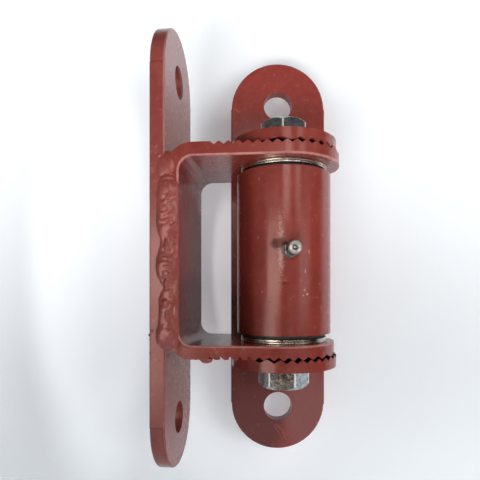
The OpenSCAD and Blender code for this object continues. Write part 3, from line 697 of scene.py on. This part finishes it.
# %% Rear seam weld
rear_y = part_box("post_plate")[1].y
both_ends = front_stations[0][0] + front_stations[-1][0]
rear_stations = [(both_ends - at, left + 0.3 * math.sin(at), right_edge - 0.3, 1.15 * tall)
                 for at, left, right_edge, tall in reversed(front_stations)]
bm = bmesh.new()
weld_bead(bm, Vector((0, rear_y, 0)), -up, right, -forward, rear_stations, ripple=0.3 * MM, lumps=0.35 * MM,
          seed=21.0)
rear_seam = keep(bm, "welded_rear_seam", "post_side", primer_on_weld, ["rear_seam_weld"],
                 flats=False)
melt(rear_seam, 0.32 * MM, rounds=2)
print("rear seam runs from", round(-rear_stations[0][0], 1), "to", round(-rear_stations[-1][0], 1),
      "mm in height")

# %% [markdown]
# ## Fillet welds on the barrel
# Two long fillets tie the barrel to its packing bar and the gate plate, deep in the corners on each side.
# Their CAD shape already fills the corner, so a copy is roughened with a cloud texture and melted smooth.

# %% Barrel welds
for node in ("left_barrel_weld", "right_barrel_weld"):
    name = "welded_" + node.removesuffix("_weld")
    fillet = keep(steel_copy(node), name, "gate_side", primer_on_weld, [node],
                  flats=False)
    melt(fillet, 0.4 * MM, rounds=1)
    drops = bpy.data.textures.new("weld_lumps", "CLOUDS")
    drops.noise_scale = 4 * MM
    rough = fillet.modifiers.new("lumps", "DISPLACE")
    rough.texture, rough.texture_coords, rough.strength, rough.mid_level = drops, "LOCAL", 0.9 * MM, 0.5
    print(fillet.name, "follows", node)

# %% [markdown]
# ## Drips under the lower arm
# Dipping leaves drips where paint gathered along the lower arm's front edge.
# Each is a flattened ball partly sunk in the steel, and a remesh rounds the joins.
# They stay behind the arm's front face, because the gate plate stops there when it swings right round.

# %% Drips on the lower arm
arm_front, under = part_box("yoke")[0].y + 0.15 * MM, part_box("yoke")[0].z
drip_places = (    # along the arm, up from its underside, half width, half height, half depth
    (28.6, -0.35, 3.1, 1.9, 2.2), (30.4, 0.1, 1.5, 0.9, 1.6), (26.2, 0.1, 1.4, 0.8, 1.5),
    (23.4, 0.25, 1.3, 0.7, 1.4), (20.8, 0.3, 1.1, 0.7, 1.6), (18.4, 0.55, 1.0, 0.7, 1.2),
    (34.0, 0.3, 1.6, 0.7, 2.6), (38.6, 0.35, 1.4, 0.7, 2.2), (43.4, 0.4, 1.5, 0.7, 2.4),
    (48.0, 0.45, 1.3, 0.6, 1.8))
bm = bmesh.new()
for x, drop, wide, tall, deep in drip_places:
    paint_lobe(bm, Vector((x * MM, arm_front + deep * MM, under + drop * MM)),
               (wide * MM, deep * MM, tall * MM))
drips = keep(bm, "paint_drips_under_arm", "post_side", primer_on_weld, flats=False)
melt(drips, 0.2 * MM, rounds=3)
print("the largest of", len(drip_places), "drips is", 2 * max(tall for _, _, _, tall, _ in drip_places),
      "mm tall")

# %% [markdown]
# ## Spatter and burrs
# Spatter balls froze on the post plate beside the seam, and the primer made them soft.
# Where the punch left the bar's straight edge, the gate plate has a small burr at its top and bottom.

# %% Spatter and burrs
spatter_places = (    # along and up the plate, radius
    (3.3, 49.3, 0.85), (1.5, -42.9, 0.8), (0.3, -45.0, 0.75), (0.5, -47.4, 0.5), (5.4, 44.6, 1.3),
    (6.6, 47.2, 0.6), (2.4, 38.0, 0.35), (1.8, -28.0, 0.3), (0.6, -54.0, 0.6), (5.6, -58.0, 0.5),
    (9.6, -55.4, 0.9))
bm = bmesh.new()
for x, z, r in spatter_places:
    paint_lobe(bm, Vector((x * MM, front_y + 0.1 * MM, z * MM)), (r * MM, 0.55 * r * MM, r * 1.1 * MM))
keep(bm, "weld_spatter", "post_side", primer_on_weld, flats=False)

plate_side, plate_middle = 29.05 * MM, 37.3 * MM    # from the pivot, in the gate plate's own frame
bm = bmesh.new()
for z, tall in ((90.4, 1.2), (-94.0, 1.4)):
    centre = Matrix.Translation(gate_frame @ Vector((plate_side, plate_middle, z * MM)))
    turned, sized = Matrix.Rotation(gate_turn, 4, "Z"), Matrix.Diagonal((0.55 * MM, 3.3 * MM, tall * MM, 1.0))
    shape = centre @ turned @ sized
    bmesh.ops.create_icosphere(bm, subdivisions=3, radius=1.0, matrix=shape)
keep(bm, "sheared_burrs", "gate_side", primer_on_gate_plate, flats=False)
print(len(spatter_places), "beads of spatter and 2 burrs added")

# %% [markdown]
# ## Paint runs on the gate plate
# Below the lower hole the paint has sagged into two thin curved ridges that reach the plate's end.
# Each is a thin grid with a rounded crown, bent along a few points on the plate's front face.

# %% Paint runs
gate_face = 33.348    # mm from the pivot to the gate plate's front face


def paint_run(points, width, height, seed):
    bm = bmesh.new()
    for vert in bmesh.ops.create_grid(bm, x_segments=70, y_segments=10, size=1)["verts"]:
        share = (vert.co.x + 1) / 2 * (len(points) - 1)
        step = min(int(share), len(points) - 2)
        part = share - step
        x, z = [a + (b - a) * part for a, b in zip(points[step], points[step + 1])]
        taper = math.sin(math.pi * (0.06 + 0.88 * share / (len(points) - 1))) ** 0.5
        beads = 1 + 0.5 * noise.noise(Vector((share * 2, 0, seed)))
        crown = max(0.0, 1 - vert.co.y ** 2) ** 0.7 * taper * beads
        wide = width * (1 + 0.4 * noise.noise(Vector((share, 0, seed + 3)))) * (0.4 + 0.6 * taper)
        aside = vert.co.y * wide
        vert.co = Vector((x + 0.85 * aside, gate_face + 0.05 - height * crown, z + 0.5 * aside)) * MM
    sunk = bmesh.ops.extrude_face_region(bm, geom=bm.faces[:])["geom"]
    bmesh.ops.translate(bm, verts=[g for g in sunk if isinstance(g, bmesh.types.BMVert)],
                        vec=(0, 0.4 * MM, 0))
    bmesh.ops.recalc_face_normals(bm, faces=bm.faces)
    bmesh.ops.transform(bm, verts=bm.verts, matrix=gate_frame)
    return bm


thick_path = [(-1.6, -106.4), (0.4, -108.4), (2.4, -110.8), (4.0, -113.4), (5.2, -116.4), (5.9, -119.4)]
thick_run = paint_run(thick_path, width=1.0, height=0.62, seed=5.0)
keep(thick_run, "paint_run_on_gate_plate", "gate_side", primer_on_weld, flats=False)
thin_path = [(-3.8, -105.4), (-1.4, -109.2), (0.8, -112.2), (2.4, -115.4), (3.0, -118.6)]
thin_run = paint_run(thin_path, width=0.5, height=0.3, seed=9.0)
keep(thin_run, "second_paint_run", "gate_side", primer_on_weld, flats=False)
print("two runs follow the lower end of the gate plate")

# %% [markdown]
# ## The grease nipple
# A nipple is turned from free-cutting steel and plated.
# It has a hexagon to screw it in, a waist, a round head for the gun's coupler, and a ball in its mouth.
# Its outline is drawn once as radius and height, and a spin round its own line makes the solid.
# The hexagon is a six-sided circle pulled up twice, the second time a little narrower for its chamfer.
# Nipples are rarely screwed in straight, so this one leans a few degrees, and the ball leans with it.

# %% Grease nipple
def heading(round_angle, up_angle):
    flat = math.cos(up_angle)
    return Vector((math.sin(round_angle) * flat, -math.cos(round_angle) * flat, math.sin(up_angle)))


hex_foot, spot_face, hex_top, tip = 24.0, 24.97, 28.17, 34.57    # mm out from the pivot
seat = pivot + heading(gate_turn + math.radians(2), 0.0) * spot_face * MM + Vector((-0.4, 0, 0.15)) * MM
aim = heading(gate_turn + math.radians(10), math.radians(6))
level = up.cross(-aim).normalized()
leaning = Matrix((level, aim.cross(level), aim)).transposed().to_4x4()
nipple_frame = Matrix.Translation(seat - aim * spot_face * MM) @ leaning
outline = [    # radius, height
    (0, tip - 3.7), (1.42, tip - 3.7), (1.42, tip - 1.25), (0.8, tip - 0.9), (0.8, tip - 0.75),
    (1.4, tip - 0.45), (1.5, tip - 0.05), (1.6, tip), (2.8, tip), (3.05, tip - 0.1), (3.25, tip - 0.5),
    (3.3, tip - 1.0), (3.3, tip - 2.2), (3.1, tip - 2.5), (2.36, tip - 3.3), (2.2, tip - 3.6),
    (2.2, hex_top + 1.2), (2.35, hex_top + 0.9), (3.0, hex_top + 0.2), (3.0, hex_top - 0.5), (3.0, 20.9),
    (0, 20.9)]
bm = bmesh.new()
corners = [bm.verts.new((r * MM, 0, h * MM)) for r, h in outline]
edges = [bm.edges.new(pair) for pair in zip(corners, corners[1:])]
bmesh.ops.spin(bm, geom=corners + edges, cent=(0, 0, 0), axis=(0, 0, 1), angle=2 * math.pi, steps=48,
               use_merge=True)
bmesh.ops.remove_doubles(bm, verts=bm.verts, dist=0.002 * MM)
bmesh.ops.dissolve_degenerate(bm, dist=0.001 * MM, edges=bm.edges)
bmesh.ops.recalc_face_normals(bm, faces=bm.faces)
hexagon = bmesh.ops.create_circle(bm, cap_ends=True, segments=6, radius=4.3 * MM,
                                  matrix=Matrix.Translation((0, 0, hex_foot * MM)))["verts"]
top = list({f for v in hexagon for f in v.link_faces})
blocks = set(top)
for rise, shrink in ((hex_top - hex_foot - 0.7, 1.0), (0.7, 0.84)):
    pulled = bmesh.ops.extrude_face_region(bm, geom=top)["geom"]
    raised = [g for g in pulled if isinstance(g, bmesh.types.BMVert)]
    for vert in raised:
        vert.co = Vector((vert.co.x * shrink, vert.co.y * shrink, vert.co.z + rise * MM))
    blocks |= {f for v in raised for f in v.link_faces}
    top = [g for g in pulled if isinstance(g, bmesh.types.BMFace)]
sides = [f for f in blocks if f.is_valid]
bmesh.ops.recalc_face_normals(bm, faces=sides)
rims = list({e for f in sides for e in f.edges if len(e.link_faces) == 2 and e.calc_face_angle() > 0.3})
bmesh.ops.bevel(bm, geom=rims, offset=0.25 * MM, offset_type="OFFSET", segments=3, profile=0.5,
                affect="EDGES", material=-1, clamp_overlap=True)
bmesh.ops.transform(bm, verts=bm.verts, matrix=nipple_frame)
keep(bm, "turned_grease_nipple", "gate_side", zinc_on_nipple, ["grease_nipple"])

bm = bmesh.new()
ball_place = nipple_frame @ Vector((0, 0, (tip - 1.5) * MM))
bmesh.ops.create_icosphere(bm, subdivisions=4, radius=1.3 * MM, matrix=Matrix.Translation(ball_place))
keep(bm, "ground_check_ball", "grease_check", ground_steel, ["check_ball"], flats=False)
print("nipple tip is", round((nipple_frame @ Vector((0, 0, tip * MM)) - pivot).length / MM, 1),
      "mm from the pivot")

# %% [markdown]
# ## Paper floor and paper wall
# The hinge hangs close in front of a sheet of white paper, a little above a paper floor.
# Soft shadows on the paper tell how deep the yoke is, and its white glow slides along the painted sides.
# The paper glows a little everywhere, and painted pools of glow make it brighter inside the yoke and on the
# left.
# One grey smudge stands for the deep shadow close behind the post plate's foot.
# Both sheets fade out into the white room.
# The wall shows only its front, so the hinge can also be seen from behind.

# %% Paper
sheet_radius, fade_from, fade_to = 0.45, 0.17, 0.42
glow_everywhere = 0.19
# painted pools of light on the paper, glowing though no lamp lights them
painted_glow_pools = (    # mm along and up the wall, radii in mm, strength
    (28, -6, (13, 60, 60), 0.22), (35, -105, (75, 60, 70), 0.08), (-64, -10, (60, 60, 170), 0.3))


def paper_sheet(name, turn, place, one_sided):
    paper, tree, surface, coords = blank(name + "_white_paper")
    fibres = add(tree, "ShaderNodeTexNoise", {"Vector": coords, "Scale": 1 / (2 * MM), "Detail": 3.0})
    pulp = add(tree, "ShaderNodeMix",
               {"Factor": fibres.outputs["Fac"], 6: linear("#EDF2F5"), 7: linear("#F4F7F9")},
               data_type="RGBA")
    middle = add(tree, "ShaderNodeVectorMath", {0: coords, 1: Vector(place)}, operation="DISTANCE")
    fade = add(tree, "ShaderNodeMapRange",
               {"Value": middle.outputs["Value"], "From Min": fade_from, "From Max": fade_to, "To Min": 1.0,
                "To Max": 0.0}, interpolation_type="SMOOTHSTEP")
    front = add(tree, "ShaderNodeMath", {0: 1.0, 1: add(tree, "ShaderNodeNewGeometry").outputs["Backfacing"]},
                operation="SUBTRACT")
    shown = add(tree, "ShaderNodeMath", {0: fade.outputs[0], 1: front.outputs[0] if one_sided else 1.0},
                operation="MULTIPLY")
    # a painted shadow on the paper close behind the post plate's foot
    painted_shadow_middle, painted_shadow_radii = (-12, place[1] / MM, -92), (13, 60, 26)
    shaded, _ = mark(tree, coords, pulp.outputs[2], painted_shadow_middle, painted_shadow_radii, "#5A5552", 0.85, ragged=0.0)
    glow = glow_everywhere
    for x, z, radii, strength in painted_glow_pools:
        _, lit = mark(tree, coords, coords, (x, place[1] / MM, z), radii, "#FFFFFF", strength, ragged=0.0)
        glow = add(tree, "ShaderNodeMath", {0: lit, 1: glow}, operation="ADD").outputs[0]
    connect(tree, surface,
            {"Base Color": shaded, "Alpha": shown.outputs[0], "Roughness": 0.85,
             "Emission Color": linear("#F0F5FB"), "Emission Strength": glow})
    bm = bmesh.new()
    bmesh.ops.create_circle(bm, cap_ends=True, segments=96, radius=sheet_radius)
    bmesh.ops.rotate(bm, verts=bm.verts, matrix=Matrix.Rotation(turn, 3, "X"))
    bmesh.ops.translate(bm, verts=bm.verts, vec=place)
    mesh = bpy.data.meshes.new(name)
    bm.to_mesh(mesh)
    bm.free()
    mesh.materials.append(paper)
    sheet = bpy.data.objects.new(name, mesh)
    bpy.context.scene.collection.objects.link(sheet)
    return sheet


paper_sheet("studio_floor", 0.0, (pivot.x, pivot.y, cad_low.z - 35 * MM), False)
wall = paper_sheet("studio_wall", math.radians(90), (pivot.x - 20 * MM, cad_high.y + 8 * MM, pivot.z), True)
print("wall faces", [round(v) for v in wall.data.polygons[0].normal], "and stands",
      round(wall.data.vertices[0].co.y / MM), "mm behind the pivot")

# %% [markdown]
# ## The white room
# Round the paper the studio is plain white to look at.
# A white room would also drown the dark mirrored streaks that make gloss paint look glossy.
# So only the camera sees it white.
# The hinge gets light only from what is behind it, far below it and, faintly, on its left.

# %% White room
room = bpy.data.worlds.new("white_room")
bpy.context.scene.world = room
room.use_nodes = True
tree = room.node_tree
tree.nodes.clear()
outlook = add(tree, "ShaderNodeTexCoord").outputs["Generated"]
split = add(tree, "ShaderNodeSeparateXYZ", {"Vector": outlook})
below = add(tree, "ShaderNodeMath", {0: split.outputs["Z"], 1: -3.2, 2: -0.8}, operation="MULTIPLY_ADD")
behind = add(tree, "ShaderNodeMath", {0: split.outputs["Y"], 1: 0.9}, operation="MULTIPLY")
glow = add(tree, "ShaderNodeMath", {0: split.outputs["X"], 1: -0.15}, operation="MULTIPLY")
for side in (below, behind):
    lit = add(tree, "ShaderNodeMath", {0: side.outputs[0], 1: 0.0}, operation="MAXIMUM")
    glow = add(tree, "ShaderNodeMath", {0: lit.outputs[0], 1: glow.outputs[0]}, operation="ADD")
glow = add(tree, "ShaderNodeMath", {0: glow.outputs[0], 1: 0.0}, operation="MAXIMUM")
seen = add(tree, "ShaderNodeLightPath").outputs["Is Camera Ray"]
shown = add(tree, "ShaderNodeMix", {"Factor": seen, 2: glow.outputs[0], 3: 1.0}, data_type="FLOAT")
sky = add(tree, "ShaderNodeBackground", {"Color": linear("#FBFCFF"), "Strength": shown.outputs[0]})
add(tree, "ShaderNodeOutputWorld", {"Surface": sky.outputs[0]})
print("the room is white to look at, bright below and behind, and dark in front")

# %% [markdown]
# ## Soft lights and reflection cards
# Glossy paint shows two things: how much light falls on it, and what it mirrors.
# Two sets of lamps keep them apart, as a studio photographer does with softboxes and white cards.
# The softboxes are big and leave no reflection, so they only fill the paint with light.
# The cards are small, light nothing, and draw the bright streaks on the barrel and the bead.
# Both stand on balls round the pivot, so a place is two angles: round from the front, and up.

# %% Lamps
def lamp(name, round_deg, up_deg, away, width, height, watts, mirrored):
    light = bpy.data.lights.new(name, "AREA")
    light.shape, light.size, light.size_y, light.energy = "RECTANGLE", width, height, watts
    if mirrored:
        light.color = linear("#FFEEE2")[:3]
    made = bpy.data.objects.new(name, light)
    bpy.context.scene.collection.objects.link(made)
    made.location = pivot + away * heading(math.radians(round_deg), math.radians(up_deg))
    made.rotation_euler = (pivot - made.location).to_track_quat("-Z", "Y").to_euler()
    made.visible_camera, made.visible_glossy, made.visible_diffuse = False, mirrored, not mirrored


softboxes = (    # degrees round, degrees up, watts
    (45, 0, 3.0), (80, 35, 2.7), (15, 0, 0.5), (-50, 35, 0.4), (20, 70, 0.45), (-15, -35, 7.2),
    (15, -35, 3.0))
for round_deg, up_deg, watts in softboxes:
    name = "softbox_%d_%d" % (round_deg, up_deg)
    lamp(name, round_deg, up_deg, away=0.9, width=0.4, height=0.4, watts=watts, mirrored=False)

cards = (    # degrees round, degrees up, width, watts
    (-23, 2, 0.32, 0.78), (8, 18, 0.16, 0.42), (-32, -14, 0.32, 0.6), (52, 2, 0.3, 0.24),
    (18, -12, 0.16, 0.05), (60, 18, 0.16, 0.04), (35, 19, 0.12, 0.2), (-13, 5, 0.04, 0.08))
for round_deg, up_deg, width, watts in cards:
    name = "card_%d_%d" % (round_deg, up_deg)
    lamp(name, round_deg, up_deg, away=0.65, width=width, height=0.16, watts=watts, mirrored=True)
print(len(softboxes), "softboxes and", len(cards), "cards stand round the hinge")
